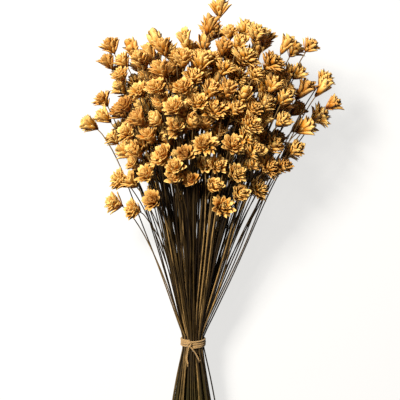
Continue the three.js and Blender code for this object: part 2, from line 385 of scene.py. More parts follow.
def wiry_stem_material(settings):
    """Dried flower stems: hard and ribbed with a faint waxy gleam, dark olive to straw."""
    material, tree, shader = new_material("dried_wiry_stem")
    stem_tone = node(tree, "ShaderNodeAttribute", attribute_name="stem_tone").outputs["Fac"]
    run = node(tree, "ShaderNodeAttribute", attribute_name="run").outputs["Fac"]
    # Every stem colour here is deeper than the stems' own, as painted shade inside the dense bundle.
    ramp = node(tree, "ShaderNodeValToRGB", {0: stem_tone})
    dark, middle, light = settings.dark, settings.mid, settings.light
    ramp_stops(ramp, [(0.0, dark), (0.62, middle), (0.95, light)])

    # Blotches along the stem, about a centimetre long.
    blotches_along = STEM_LENGTH / BLOTCH_SPACING
    along = node(tree, "ShaderNodeMath", {0: run, 1: blotches_along}, operation="MULTIPLY").outputs[0]
    stem = node(tree, "ShaderNodeMath", {0: stem_tone, 1: STEM_STEP}, operation="MULTIPLY").outputs[0]
    place = node(tree, "ShaderNodeCombineXYZ", {0: along, 1: stem}).outputs[0]
    blotches = node(tree, "ShaderNodeTexNoise", {"Vector": place, "Scale": 1.0, "Detail": 3.0})
    blotch_tone = node(tree, "ShaderNodeMapRange", {0: blotches.outputs[0], 1: 0.3, 2: 0.7, 3: 0.5, 4: 1.45})
    toned = node(
        tree, "ShaderNodeVectorMath", {0: ramp.outputs[0], "Scale": blotch_tone.outputs[0]}, operation="SCALE"
    )

    # Fine grain runs with the stem, in the furrows between its ribs.
    around = node(tree, "ShaderNodeAttribute", attribute_name="around").outputs["Fac"]
    rib_turns = RIBS_ROUND_STEM * math.tau
    phase = node(tree, "ShaderNodeMath", {0: around, 1: rib_turns}, operation="MULTIPLY").outputs[0]
    ribs = node(tree, "ShaderNodeMath", {0: phase}, operation="SINE").outputs[0]
    round_place = node(
        tree, "ShaderNodeMath", {0: around, 1: GRAIN_ROUND_STEM}, operation="MULTIPLY"
    ).outputs[0]
    streaks_along = STEM_LENGTH / GRAIN_LENGTH
    long_place = node(tree, "ShaderNodeMath", {0: run, 1: streaks_along}, operation="MULTIPLY").outputs[0]
    grain_place = node(tree, "ShaderNodeCombineXYZ", {0: round_place, 1: long_place, 2: stem}).outputs[0]
    grain = node(tree, "ShaderNodeTexNoise", {"Vector": grain_place, "Scale": 1.0, "Detail": 4.0}).outputs[0]
    ribbed = node(
        tree, "ShaderNodeMath", {0: ribs, 1: RIB_SHARE, 2: grain}, operation="MULTIPLY_ADD"
    ).outputs[0]
    grain_tone = node(tree, "ShaderNodeMapRange", {0: ribbed, 1: 0.3, 2: 0.7, 3: 0.55, 4: 1.45}).outputs[0]
    toned = node(tree, "ShaderNodeVectorMath", {0: toned.outputs[0], "Scale": grain_tone}, operation="SCALE")

    # The lower stems have kept some green. The last stretch below a head and the dry cut end are paler.
    low = node(tree, "ShaderNodeMapRange", {0: run, 1: 0.02, 2: 0.24, 3: 0.5, 4: 0.0})
    foot = [*settings.foot, 1]
    toned = node(
        tree, "ShaderNodeMix", {0: low.outputs[0], 6: toned.outputs[0], 7: foot}, data_type="RGBA"
    )
    neck = node(tree, "ShaderNodeMapRange", {0: run, 1: 0.93, 2: 1.0, 3: 0.0, 4: 0.75})
    necked = node(
        tree, "ShaderNodeMix", {0: neck.outputs[0], 6: toned.outputs[2], 7: [*light, 1]}, data_type="RGBA"
    )
    cut = node(tree, "ShaderNodeMapRange", {0: run, 1: 0.0, 2: 0.006, 3: 0.7, 4: 0.0})
    finished = node(
        tree, "ShaderNodeMix", {0: cut.outputs[0], 6: necked.outputs[2], 7: [*light, 1]}, data_type="RGBA"
    )
    tree.links.new(finished.outputs[2], shader.inputs["Base Color"])
    rough = node(tree, "ShaderNodeMapRange", {0: blotches.outputs[0], 1: 0.3, 2: 0.7, 3: 0.62, 4: 0.46})
    tree.links.new(rough.outputs[0], shader.inputs["Roughness"])
    shader.inputs["Specular IOR Level"].default_value = 0.18

    bump = node(tree, "ShaderNodeBump", {"Strength": 0.8, "Distance": GRAIN_DEPTH, "Height": ribbed})
    tree.links.new(bump.outputs[0], shader.inputs["Normal"])
    return material


# Real fibres are finer than this, and would not show.
FIBRES_PER_METRE = 2.6 / MM
FIBRE_DEPTH = 0.15 * MM


def twine_material(settings):
    """Three-ply natural twine: rough spun fibre in its own pale colour, with painted shade that turns it
    brown between the plies.
    """
    material, tree, shader = new_material("spun_natural_twine")
    depth = node(tree, "ShaderNodeAttribute", attribute_name="ply_height").outputs["Fac"]
    place = node(tree, "ShaderNodeTexCoord").outputs["Object"]
    fibres = node(tree, "ShaderNodeTexNoise", {"Vector": place, "Scale": FIBRES_PER_METRE, "Detail": 4.0})
    # Towards the grooves between the plies the colour turns to painted shade.
    mixed = node(tree, "ShaderNodeMath", {0: fibres.outputs[0], 1: 0.8, 2: depth}, operation="MULTIPLY_ADD")
    ramp = node(tree, "ShaderNodeValToRGB", {0: mixed.outputs[0]})
    ramp_stops(ramp, [(0.3, settings.groove_shade), (1.0, settings.fibre)])
    tree.links.new(ramp.outputs[0], shader.inputs["Base Color"])
    shader.inputs["Roughness"].default_value = 0.88
    # Short loose hairs catch the light along the twine's edges.
    shader.inputs["Sheen Weight"].default_value = 0.25
    bump = node(
        tree, "ShaderNodeBump", {"Strength": 0.7, "Distance": FIBRE_DEPTH, "Height": fibres.outputs[0]}
    )
    tree.links.new(bump.outputs[0], shader.inputs["Normal"])
    return material


BOARD_REFLECTS = 0.16  # the share of light from above that the floor gives back
BOARD_GLOWS = 0.78


def diffuser_floor_material(settings):
    """A plain matt diffuser board, lit from behind so that shadows on it stay pale."""
    material, _, shader = new_material("pale_matt_floor")
    shader.inputs["Base Color"].default_value = [BOARD_REFLECTS * channel for channel in settings.floor] + [1]
    shader.inputs["Roughness"].default_value = 0.9
    shader.inputs["Specular IOR Level"].default_value = 0.1
    shader.inputs["Emission Color"].default_value = [*settings.floor, 1]
    shader.inputs["Emission Strength"].default_value = BOARD_GLOWS
    return material


# ---------------------------------------------------------------------------------------------------
# Bracts: thin closed scales, made once each and then repeated
# ---------------------------------------------------------------------------------------------------

# A bract stands on its base at the origin and reaches up +Z to a length of about 1. Its outer face
# looks along +X, and it is 1 wide where it is widest. Each row gives how far along it lies and how much
# of the full width it has.
BROAD_OUTLINE = [(0.0, 0.40), (0.26, 0.72), (0.52, 0.96), (0.77, 1.0), (0.91, 0.60), (1.0, 0.04)]
NARROW_OUTLINE = [(0.0, 0.50), (0.26, 0.78), (0.5, 1.0), (0.70, 0.94), (0.87, 0.56), (1.0, 0.03)]
COLUMNS = (-1.0, -0.55, 0.0, 0.55, 1.0)
FLARE_FROM = 0.62  # the share of its length from which a bract may flare

# Each kind of bract: its outline, then how far in radians it leans out, bends inwards and flares at the
# tip, and how deeply it is cupped.
BRACT_KINDS = {
    "scale": (BROAD_OUTLINE, 0.16, 0.42, 1.0, 0.12),
    "wall": (BROAD_OUTLINE, 0.10, 0.34, 2.0, 0.10),
    "boat": (NARROW_OUTLINE, 0.06, 0.52, 1.5, 0.13),
    "flared": (NARROW_OUTLINE, -0.12, -0.34, 0.9, 0.12),
    "closed": (BROAD_OUTLINE, 0.30, 1.0, 0.0, 0.12),
}


def spine(along, lean, bend, flare):
    """A point on a bract's spine: it starts leaning out, bends inwards and may flare at the tip."""
    steps = 24
    x = z = 0.0
    for i in range(round(along * steps)):
        s = (i + 0.5) / steps
        angle = lean - bend * s + flare * max(0.0, s - FLARE_FROM) ** 1.5
        x += math.sin(angle) / steps
        z += math.cos(angle) / steps
    return Vector((x, 0, z))


def bract(name, outline, lean, bend, flare, cupping, thickness):
    """A boat-shaped scale, thickest along its middle and closed at a sharp rim."""
    points, faces, along_values, across_values = [], [], [], []
    last = len(COLUMNS) - 1
    index = {}
    for side in (1, -1):
        for row, (along, half_width) in enumerate(outline):
            middle = spine(along, lean, bend, flare)
            for column, across in enumerate(COLUMNS):
                on_rim = column in (0, last) or row == len(outline) - 1
                if on_rim and side == -1:
                    index[side, row, column] = index[1, row, column]
                    continue
                body = 0 if on_rim else thickness * (1 - across * across) * side
                inwards = cupping * half_width * half_width * across * across
                points.append(middle + Vector((body - inwards, across * half_width * 0.5, 0)))
                along_values.append(along)
                across_values.append(abs(across))
                index[side, row, column] = len(points) - 1
    for row in range(len(outline) - 1):
        for column in range(last):
            front = [(row, column), (row, column + 1), (row + 1, column + 1), (row + 1, column)]
            faces.append([index[1, r, c] for r, c in front])
            faces.append([index[-1, r, c] for r, c in reversed(front)])
    foot = [index[-1, 0, c] for c in range(last + 1)] + [index[1, 0, c] for c in range(last - 1, 0, -1)]
    faces.append(foot)
    piece = mesh_piece(name, points, faces=faces, collection=workshop())
    store(piece.data, "along", along_values)
    store(piece.data, "across", across_values)
    close_outwards(piece.data)
    return piece


def close_outwards(mesh):
    """Points every face of a closed mesh outwards and shades it smooth."""
    shape = bmesh.new()
    shape.from_mesh(mesh)
    bmesh.ops.recalc_face_normals(shape, faces=shape.faces)
    for face in shape.faces:
        face.smooth = True
    shape.to_mesh(mesh)
    shape.free()


def make_bract_templates(thickness):
    return {kind: bract("bract_" + kind, *shape, thickness) for kind, shape in BRACT_KINDS.items()}


# ---------------------------------------------------------------------------------------------------
# Heads: bracts on a golden-angle spiral, from the lowest and outermost to the innermost
# ---------------------------------------------------------------------------------------------------


UNEVEN_TURN, UNEVEN_TILT, UNEVEN_ROLL = 0.16, 0.13, 0.14  # radians either way
UNEVEN_LENGTH = 0.13  # of a bract's length, either way
INNER_GATHER = -0.75  # how much closer to the middle the innermost bract stands, as a share


def bract_spiral_tree(material):
    """Adds a spiral of bracts to what comes in."""
    tree, given = new_tree(
        "Bract spiral",
        [
            ("Bract", "Object"),
            ("Count", "Int"),
            ("Low", "Float"),
            ("High", "Float"),
            ("Spread", "Float"),
            ("Low tilt", "Float"),
            ("High tilt", "Float"),
            ("Low length", "Float"),
            ("High length", "Float"),
            ("Width", "Float"),
            ("Unevenness", "Float"),
            ("First turn", "Float"),
            ("Seed", "Int"),
        ],
    )
    value = given.outputs
    index = node(tree, "GeometryNodeInputIndex").outputs[0]
    last = node(tree, "ShaderNodeMath", {0: value["Count"], 1: 1.0}, operation="SUBTRACT").outputs[0]
    rank = node(tree, "ShaderNodeMath", {0: index, 1: last}, operation="DIVIDE").outputs[0]
    turn = node(
        tree, "ShaderNodeMath", {0: index, 1: GOLDEN_ANGLE, 2: value["First turn"]}, operation="MULTIPLY_ADD"
    ).outputs[0]

    # Each bract is a little off in turn, tilt, roll and length.
    off = []
    for i, reach in enumerate((UNEVEN_TURN, UNEVEN_TILT, UNEVEN_ROLL, UNEVEN_LENGTH)):
        seed = node(tree, "ShaderNodeMath", {0: value["Seed"], 1: 100.0 * i}, operation="ADD").outputs[0]
        chance = node(tree, "FunctionNodeRandomValue", {2: -reach, 3: reach, "Seed": seed}).outputs[1]
        scaled = node(tree, "ShaderNodeMath", {0: chance, 1: value["Unevenness"]}, operation="MULTIPLY")
        off.append(scaled.outputs[0])
    off_turn, off_tilt, roll, off_length = off
    turn = node(tree, "ShaderNodeMath", {0: turn, 1: off_turn}, operation="ADD").outputs[0]
    tilt = node(tree, "ShaderNodeMapRange", {0: rank, 3: value["Low tilt"], 4: value["High tilt"]}).outputs[0]
    tilt = node(tree, "ShaderNodeMath", {0: tilt, 1: off_tilt}, operation="ADD").outputs[0]
    length = node(
        tree, "ShaderNodeMapRange", {0: rank, 3: value["Low length"], 4: value["High length"]}
    ).outputs[0]
    longer = node(tree, "ShaderNodeMath", {0: off_length, 1: 1.0}, operation="ADD").outputs[0]
    length = node(tree, "ShaderNodeMath", {0: length, 1: longer}, operation="MULTIPLY").outputs[0]

    # The inner bracts stand closer to the middle.
    height = node(tree, "ShaderNodeMapRange", {0: rank, 3: value["Low"], 4: value["High"]}).outputs[0]
    inner = node(
        tree, "ShaderNodeMath", {0: rank, 1: INNER_GATHER, 2: 1.0}, operation="MULTIPLY_ADD"
    ).outputs[0]
    radius = node(tree, "ShaderNodeMath", {0: value["Spread"], 1: inner}, operation="MULTIPLY").outputs[0]
    cosine = node(tree, "ShaderNodeMath", {0: turn}, operation="COSINE").outputs[0]
    sine = node(tree, "ShaderNodeMath", {0: turn}, operation="SINE").outputs[0]
    x = node(tree, "ShaderNodeMath", {0: cosine, 1: radius}, operation="MULTIPLY").outputs[0]
    y = node(tree, "ShaderNodeMath", {0: sine, 1: radius}, operation="MULTIPLY").outputs[0]
    place = node(tree, "ShaderNodeCombineXYZ", {0: x, 1: y, 2: height}).outputs[0]

    points = node(tree, "GeometryNodePoints", {"Count": value["Count"], "Position": place}).outputs[0]
    tone = node(tree, "FunctionNodeRandomValue", {2: 0.0, 3: 1.0, "Seed": value["Seed"]}).outputs[1]
    ranked = node(tree, "GeometryNodeStoreNamedAttribute", {0: points, "Name": "rank", "Value": rank})
    toned = node(
        tree, "GeometryNodeStoreNamedAttribute", {0: ranked.outputs[0], "Name": "bract_tone", "Value": tone}
    )
    turned = node(tree, "ShaderNodeCombineXYZ", {0: roll, 1: tilt, 2: turn}).outputs[0]
    width = node(tree, "ShaderNodeMath", {0: length, 1: value["Width"]}, operation="MULTIPLY").outputs[0]
    size = node(tree, "ShaderNodeCombineXYZ", {0: length, 1: width, 2: length}).outputs[0]
    shape = node(tree, "GeometryNodeObjectInfo", {"Object": value["Bract"]}).outputs["Geometry"]
    bracts = node(
        tree,
        "GeometryNodeInstanceOnPoints",
        {"Points": toned.outputs[0], "Instance": shape, "Rotation": turned, "Scale": size},
    ).outputs[0]
    real = node(tree, "GeometryNodeRealizeInstances", {0: bracts}).outputs[0]
    painted = node(tree, "GeometryNodeSetMaterial", {0: real, "Material": material}).outputs[0]
    joined = node(tree, "GeometryNodeJoinGeometry")
    tree.links.new(painted, joined.inputs[0])
    tree.links.new(value["Geometry"], joined.inputs[0])
    node(tree, "NodeGroupOutput", {0: joined.outputs[0]})
    return tree


# Each row of bracts: kind, count, heights, spread, tilts in degrees, lengths, width against length.
# Lengths are in millimetres for a head of ordinary size, measured from the top of the stem. The letters
# keep the kinds of head in this order, because a collection's instances are numbered by name.
HEAD_KINDS = {
    "a_cup": [
        ("scale", 9, (0.0, 2.0), 1.0, (36, 34), (6.0, 9.5), 0.50),
        ("wall", 14, (0.6, 3.4), 1.5, (37, 33), (11.5, 13.5), 0.36),
        ("boat", 27, (3.4, 7.6), 2.4, (42, 4), (11.5, 8.0), 0.38),
    ],
    "b_rosette": [
        ("scale", 9, (0.2, 2.2), 1.0, (44, 42), (6.0, 9.0), 0.52),
        ("wall", 15, (1.2, 4.4), 1.8, (48, 46), (10.5, 11.5), 0.40),
        ("boat", 32, (4.2, 8.6), 2.6, (52, 4), (10.0, 6.0), 0.42),
    ],
    "c_star": [
        ("scale", 9, (0.2, 2.2), 1.0, (46, 46), (6.0, 9.0), 0.50),
        ("flared", 14, (1.4, 4.4), 1.8, (46, 50), (11.5, 12.5), 0.33),
        ("boat", 29, (4.4, 9.0), 2.6, (60, 5), (11.5, 6.5), 0.37),
    ],
    "d_trumpet": [
        ("scale", 8, (0.0, 2.2), 1.0, (24, 22), (8.0, 11.0), 0.46),
        ("wall", 13, (1.0, 4.4), 1.3, (25, 22), (14.5, 16.5), 0.32),
        ("flared", 18, (5.5, 9.5), 1.9, (30, 4), (11.5, 8.5), 0.35),
    ],
    "e_bud": [
        ("scale", 8, (0.0, 2.4), 1.0, (40, 36), (8.0, 11.0), 0.52),
        ("closed", 13, (1.8, 5.0), 1.6, (30, 20), (12.5, 12.5), 0.46),
        ("boat", 14, (5.0, 8.0), 1.4, (18, 3), (9.5, 8.0), 0.34),
    ],
    "f_full": [
        ("scale", 9, (0.4, 2.4), 1.1, (50, 50), (7.0, 10.0), 0.50),
        ("flared", 18, (1.8, 5.0), 2.2, (58, 56), (12.5, 13.5), 0.30),
        ("boat", 46, (4.8, 10.2), 3.0, (68, 4), (12.0, 6.4), 0.32),
    ],
}
# How often each kind grows, in the same order.
KIND_SHARES = [36, 28, 14, 10, 6, 6]
TWINS = 3  # heads of each kind that are not quite alike

# What grows on the single flowers that stand clear of the dome, where it isn't left to chance.
CUP, ROSETTE, _, TRUMPET, BUD, FULL = range(len(HEAD_KINDS))
STRAY_KINDS = {
    **dict.fromkeys(("flower_01", "flower_02", "flower_04", "flower_09", "flower_12"), CUP),
    **dict.fromkeys(("flower_13", "flower_14", "flower_16", "flower_17"), CUP),
    **dict.fromkeys(("flower_05", "flower_06", "flower_07", "flower_08", "flower_10"), ROSETTE),
    "flower_03": BUD,
    "flower_15": TRUMPET,
    **dict.fromkeys(("flower_19", "flower_20"), FULL),
}

# The solid middle of a head, hidden by its bracts: heights and radii in millimetres.
CORE_PROFILE = [(-0.6, 0.0), (0.0, 0.62), (1.6, 1.5), (4.0, 2.1), (6.6, 2.0), (8.2, 0.0)]
CORE_SIDES = 9


def head_core(name):
    """The receptacle that the bracts grow from, a small closed pear shape."""
    rings = [(z * MM, r * MM) for z, r in CORE_PROFILE[1:-1]]
    points = [Vector((0, 0, CORE_PROFILE[0][0] * MM)), Vector((0, 0, CORE_PROFILE[-1][0] * MM))]
    for z, r in rings:
        for i in range(CORE_SIDES):
            angle = i * math.tau / CORE_SIDES
            points.append(Vector((r * math.cos(angle), r * math.sin(angle), z)))
    faces = []
    for i in range(CORE_SIDES):
        after = (i + 1) % CORE_SIDES
        faces.append([0, 2 + after, 2 + i])
        for ring in range(len(rings) - 1):
            low, high = 2 + ring * CORE_SIDES, 2 + (ring + 1) * CORE_SIDES
            faces.append([low + i, low + after, high + after, high + i])
        top = 2 + (len(rings) - 1) * CORE_SIDES
        faces.append([top + i, top + after, 1])
    piece = mesh_piece(name, points, faces=faces, collection=workshop())
    close_outwards(piece.data)
    store(piece.data, "along", [0.1] * len(points))
    store(piece.data, "across", [0.0] * len(points))
    store(piece.data, "bract_tone", [0.5] * len(points))
    return piece


def make_head(name, rows, tree, bracts, unevenness, material, seed):
    """A head: its core with every row of bracts, each row by one run of the tree."""
    piece = head_core(name)
    piece.data.materials.append(material)
    for row, (kind, count, heights, spread, tilts, lengths, width) in enumerate(rows):
        run_tree(
            piece,
            tree,
            Bract=bracts[kind],
            Count=count,
            Low=heights[0] * MM,
            High=heights[1] * MM,
            Spread=spread * MM,
            Low_tilt=math.radians(tilts[0]),
            High_tilt=math.radians(tilts[1]),
            Low_length=lengths[0] * MM,
            High_length=lengths[1] * MM,
            Width=width,
            Unevenness=unevenness,
            First_turn=seed * 1.7 + row,
            Seed=seed * 10 + row,
        )
    return freeze(piece)


# ---------------------------------------------------------------------------------------------------
# Flowers: where each head and stem goes
# ---------------------------------------------------------------------------------------------------


OUT_OF_ROUND = 0.02  # the most for a crown's ring, as a share of its radius
SMALLEST_CROWN, LARGEST_CROWN = 0.8, 1.15  # against the ordinary one
LOWEST_CROWN = 0.5 * MM


def crown_at(vertex):
    """The middle and radius of the ring round a crown's tip, or None where the vertex isn't a tip."""
    ring = [edge.other_vert(vertex).co for edge in vertex.link_edges]
    if len(ring) != CROWN_SIDES:
        return None
    middle = sum(ring, Vector()) / CROWN_SIDES
    radii = [(point - middle).length for point in ring]
    radius = sum(radii) / CROWN_SIDES
    even = max(radii) - min(radii) < OUT_OF_ROUND * radius
    right_size = SMALLEST_CROWN < radius / CROWN_RING_RADIUS < LARGEST_CROWN
    raised = (vertex.co - middle).length > LOWEST_CROWN
    return (middle, radius) if even and right_size and raised else None


def read_heads(name):
    """Each head of a node, with the middle of its shoulder, the way it faces and its size. And its points."""
    shape = bmesh.new()
    shape.from_mesh(frame["nodes"][name].data)
    bmesh.ops.remove_doubles(shape, verts=shape.verts, dist=0.002 * MM)
    heads = []
    for vertex in shape.verts:
        crown = crown_at(vertex)
        if crown:
            facing = (vertex.co - crown[0]).normalized()
            size = crown[1] / CROWN_RING_RADIUS
            heads.append({"facing": facing, "size": size, "at": vertex.co - facing * CROWN_TIP_RISE * size})
    points = [vertex.co.copy() for vertex in shape.verts]
    shape.free()
    return heads, points


def middle_of(points):
    return sum(points, Vector()) / len(points)


def tie_centre():
    """The middle of the tie. Its ring leans, so its upper edge is the highest point along the bunch."""
    low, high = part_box("tie")
    outer = TIE_INNER_RADIUS + 2 * TWINE_RADIUS
    reach = TIE_WIDTH / 2 * math.cos(TIE_TILT) + outer * math.sin(TIE_TILT)
    bottom = low.z + outer * math.cos(TIE_TILT) + TIE_WIDTH / 2 * math.sin(TIE_TILT)
    return Vector(((low.x + high.x) / 2, high.y - reach, bottom))


TIE_AT = tie_centre()
PINCH_REACH = 6 * MM  # the stems run straight this far each side of the middle of the tie
LEAVE_STRAIGHTNESS = 0.1  # how much the stems keep the tie's direction as they leave it
MEMBER_OFFSET = 0.8 * MM  # between the stems of one sprig and its middle, under the tie
STEM_IN_HEAD = 2.5 * MM  # how far a stem runs on inside its head
DOME_CORE = TIE_AT + Vector((6 * MM, 185 * MM, 18 * MM))  # heads turn away from here
FLOWERS_PER_SPRIG = 4
FEET_BELOW_TIE = 80 * MM  # what is lower than this belongs to the cut ends
UNDER_TIE = 12 * MM  # what is nearer than this to the middle of the tie is under it
FOOT_SPREAD = 2.2 * MM  # between the cut ends of one sprig and their middle


def wander_vector(rng, reach):
    """A step sideways, up to the given reach."""
    angle = rng.uniform(0, math.tau)
    return Vector((math.cos(angle), 0, math.sin(angle))) * reach * rng.uniform(0.2, 1.0)


def stem_run(foot, pinch, neck, facing, rng, wander):
    """Points from the cut end, through the tie, and up in an arch to the head."""
    low = pinch - Vector((0, PINCH_REACH, 0))
    high = pinch + Vector((0, PINCH_REACH, 0))
    drift = wander_vector(rng, wander * 0.5)
    points = [foot.lerp(low, t) + drift * math.sin(math.pi * t) for t in (0.0, 0.012, 0.33, 0.66)]
    points += [low, pinch, high]

    # Above the tie it leaves nearly straight for its head, and arrives partly the way the head faces.
    chord = neck - high
    leave = (chord.normalized() + Vector((0, LEAVE_STRAIGHTNESS, 0))).normalized() * chord.length
    arrive = (chord.normalized() * 0.7 + facing * 0.5).normalized() * chord.length
    bow = wander_vector(rng, wander)
    wave = wander_vector(rng, wander * 0.6)
    steps = 12
    for i in range(1, steps + 1):
        t = i / steps
        hermite = high * (2 * t**3 - 3 * t**2 + 1) + leave * (t**3 - 2 * t**2 + t)
        hermite += neck * (-2 * t**3 + 3 * t**2) + arrive * (t**3 - t**2)
        sway = bow * math.sin(math.pi * t) ** 2 + wave * math.sin(math.tau * t) * math.sin(math.pi * t)
        points.append(hermite + sway)
    points.append(neck + facing * STEM_IN_HEAD)
    return points


PACKED_PULL, OUTWARD_PULL, NOD = 0.55, 0.6, 0.2  # what turns a head, as shares
LOW_HEADS = 225 * MM  # heads turn up more and more below this height above the tie
LOW_HEADS_DEPTH = 80 * MM  # and most of all when they are this far below it
TURN_UP = 0.35


def turned_facing(head, rng):
    """Heads look out of the dome more than their packed funnels do, each a little its own way."""
    outwards = head["at"] - DOME_CORE
    outwards.y = max(outwards.y, 0.3 * outwards.length)
    outwards.normalize()
    nod = Vector([rng.uniform(-1, 1) for _ in range(3)])
    facing = head["facing"] * PACKED_PULL + outwards * OUTWARD_PULL + nod * NOD
    # The lowest heads have turned up to the light.
    low = min(max((TIE_AT.y + LOW_HEADS - head["at"].y) / LOW_HEADS_DEPTH, 0), 1)
    facing.z = max(facing.z + TURN_UP * low, 0.02)
    return facing.normalized()


SPOTS_TRIED = 120
FILLER_REACH = (9, 26)  # how far from an old head a new one may stand, in millimetres
FILLER_RISE = 9  # and how far above or below it
NEIGHBOUR = 30 * MM
LOWEST_FILLER = 14 * MM
DEPTH_WEIGHT = 0.55  # a distance in height counts for less, since one head then covers the other


def gap_near(own, taken, rng):
    """The emptiest place in the dome near a sprig's own heads, and how far off its nearest head is."""
    best, best_room = None, 0
    for _ in range(SPOTS_TRIED):
        angle = rng.uniform(0, math.tau)
        reach = rng.uniform(*FILLER_REACH) * MM
        rise = rng.uniform(-FILLER_RISE, FILLER_RISE) * MM
        step = Vector((math.cos(angle) * reach, math.sin(angle) * reach, rise))
        spot = rng.choice(own)["at"] + step
        outwards = spot - DOME_CORE
        outwards.y = max(outwards.y, 0)
        outwards.normalize()
        offsets = [other - spot for other in taken]
        # Some other head has to be farther out, so that the bunch keeps its outline.
        inside = any(o.length < NEIGHBOUR and o.dot(outwards) > 0.45 * o.length for o in offsets)
        room = min((o * Vector((1, 1, DEPTH_WEIGHT))).length for o in offsets)
        if inside and room > best_room and spot.z > LOWEST_FILLER:
            best, best_room = spot, room
    return best, best_room


# Low flowers on the upper side of the bunch, in millimetres: across, along from the tie, up from its
# centre line.
LOW_FLOWERS = [
    (-64, 164, 24),
    (-47, 171, 34),
    (-33, 186, 40),
    (-18, 168, 46),
    (-57, 193, 30),
    (44, 172, 44),
    (61, 182, 34),
    (82, 201, 24),
    (54, 205, 40),
    (47, 152, 40),
    (92, 180, 14),
]
CENTRE_LINE_RISE = 0.157  # for each millimetre along the bunch


def grow(nodes, spot, rng):
    """Adds a flower at a spot to the sprig whose heads are nearest."""
    sprigs = [parts for parts in nodes.values() if len(parts["heads"]) > 1]
    distances = [min((head["at"] - spot).length for head in parts["heads"]) for parts in sprigs]
    parts = sprigs[distances.index(min(distances))]
    nearest = min(parts["heads"], key=lambda head: (head["at"] - spot).length)
    parts["heads"].append({"at": spot, "facing": nearest["facing"].copy(), "size": rng.uniform(0.86, 1.04)})


def add_fillers(nodes, rng, settings):
    """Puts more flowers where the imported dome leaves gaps, on the stems of the nearest sprig."""
    for across, along, up in LOW_FLOWERS:
        spot = TIE_AT + Vector((across, along, up + along * CENTRE_LINE_RISE)) * MM
        grow(nodes, spot, rng)
    taken = [head["at"] for node_parts in nodes.values() for head in node_parts["heads"]]
    for _ in range(settings.rounds):
        for parts in nodes.values():
            heads = parts["heads"]
            if len(heads) < FLOWERS_PER_SPRIG:
                continue
            spot, room = gap_near(heads, taken, rng)
            if room > settings.room:
                nearest = min(heads, key=lambda head: (head["at"] - spot).length)
                size = rng.uniform(0.84, 1.02)
                heads.append({"at": spot, "facing": nearest["facing"].copy(), "size": size})
                taken.append(spot)


def read_node(name):
    """A node's heads, and the middle of its stems at their cut end and under the tie."""
    heads, points = read_heads(name)
    expected = 1 if name.startswith("flower") else FLOWERS_PER_SPRIG
    if len(heads) != expected:
        raise RuntimeError(f"{name} has {len(heads)} heads, not {expected}")
    foot = middle_of([point for point in points if point.y < TIE_AT.y - FEET_BELOW_TIE])
    pinch = middle_of([point for point in points if abs(point.y - TIE_AT.y) < UNDER_TIE])
    pinch.y = TIE_AT.y
    return {"heads": heads, "foot": foot, "pinch": pinch}


def flowers_of(parts, rng, settings):
    """Where every flower of a node has its head and its stem."""
    heads = parts["heads"]
    centre = middle_of([head["at"] for head in heads])
    flowers = []
    for head in heads:
        aside = (head["at"] - centre) * Vector((1, 0, 1))
        aside = aside.normalized() if len(heads) > 1 else Vector()
        facing = turned_facing(head, rng)
        size = head["size"] * settings.heads.head_scale
        neck = head["at"] - facing * FUNNEL_LENGTH * head["size"]
        cut = parts["foot"] + aside * FOOT_SPREAD + Vector((0, rng.uniform(-3, 5) * MM, 0))
        pinch = parts["pinch"] + aside * MEMBER_OFFSET
        run = stem_run(cut, pinch, neck, facing, rng, settings.stems.wander)
        flowers.append({"facing": facing, "size": size, "run": run})
    return flowers


# ---------------------------------------------------------------------------------------------------
# Whole flowers: the stems follow their runs, and a head sits on each stem's end
# ---------------------------------------------------------------------------------------------------


STEM_POINTS = 36  # rings of points along a stem


def flower_tree(bract_material, stem_material):
    """Turns each line of points into a stem, and puts a head on its last point."""
    tree, given = new_tree("Flowers on stems", [("Heads", "Collection"), ("Sides", "Int")])
    value = given.outputs

    line = node(tree, "GeometryNodeMeshToCurve", {0: value["Geometry"]}).outputs[0]
    rounded = node(tree, "GeometryNodeCurveSplineType", {0: line}, spline_type="CATMULL_ROM").outputs[0]
    even = node(tree, "GeometryNodeResampleCurve", {0: rounded, "Count": STEM_POINTS}).outputs[0]
    girth = node(tree, "GeometryNodeInputNamedAttribute", {0: "girth"}, data_type="FLOAT").outputs[0]
    circle = node(tree, "GeometryNodeCurvePrimitiveCircle", {"Resolution": value["Sides"], "Radius": 1.0})
    around = node(tree, "GeometryNodeSplineParameter").outputs["Factor"]
    ring = node(
        tree, "GeometryNodeStoreNamedAttribute", {0: circle.outputs[0], "Name": "around", "Value": around}
    ).outputs[0]
    stems = node(
        tree, "GeometryNodeCurveToMesh", {0: even, 1: ring, "Scale": girth, "Fill Caps": True}
    ).outputs[0]
    painted_stems = node(tree, "GeometryNodeSetMaterial", {0: stems, "Material": stem_material}).outputs[0]

    kinds = node(
        tree, "GeometryNodeCollectionInfo", {"Collection": value["Heads"], 1: True, 2: True}
    ).outputs[0]
    top = node(tree, "GeometryNodeInputNamedAttribute", {0: "is_top"}, data_type="BOOLEAN").outputs[0]
    kind = node(tree, "GeometryNodeInputNamedAttribute", {0: "kind"}, data_type="INT").outputs[0]
    turn = node(tree, "GeometryNodeInputNamedAttribute", {0: "turn"}, data_type="FLOAT_VECTOR").outputs[0]
    size = node(tree, "GeometryNodeInputNamedAttribute", {0: "size"}, data_type="FLOAT").outputs[0]
    heads = node(
        tree,
        "GeometryNodeInstanceOnPoints",
        {
            "Points": value["Geometry"],
            "Selection": top,
            "Instance": kinds,
            "Pick Instance": True,
            "Instance Index": kind,
            "Rotation": turn,
            "Scale": size,
        },
    ).outputs[0]
    real_heads = node(tree, "GeometryNodeRealizeInstances", {0: heads}).outputs[0]
    painted_heads = node(
        tree, "GeometryNodeSetMaterial", {0: real_heads, "Material": bract_material}
    ).outputs[0]

    joined = node(tree, "GeometryNodeJoinGeometry")
    tree.links.new(painted_heads, joined.inputs[0])
    tree.links.new(painted_stems, joined.inputs[0])
    shaded = node(tree, "GeometryNodeSetShadeSmooth", {0: joined.outputs[0]}).outputs[0]
    node(tree, "NodeGroupOutput", {0: shaded})
    return tree


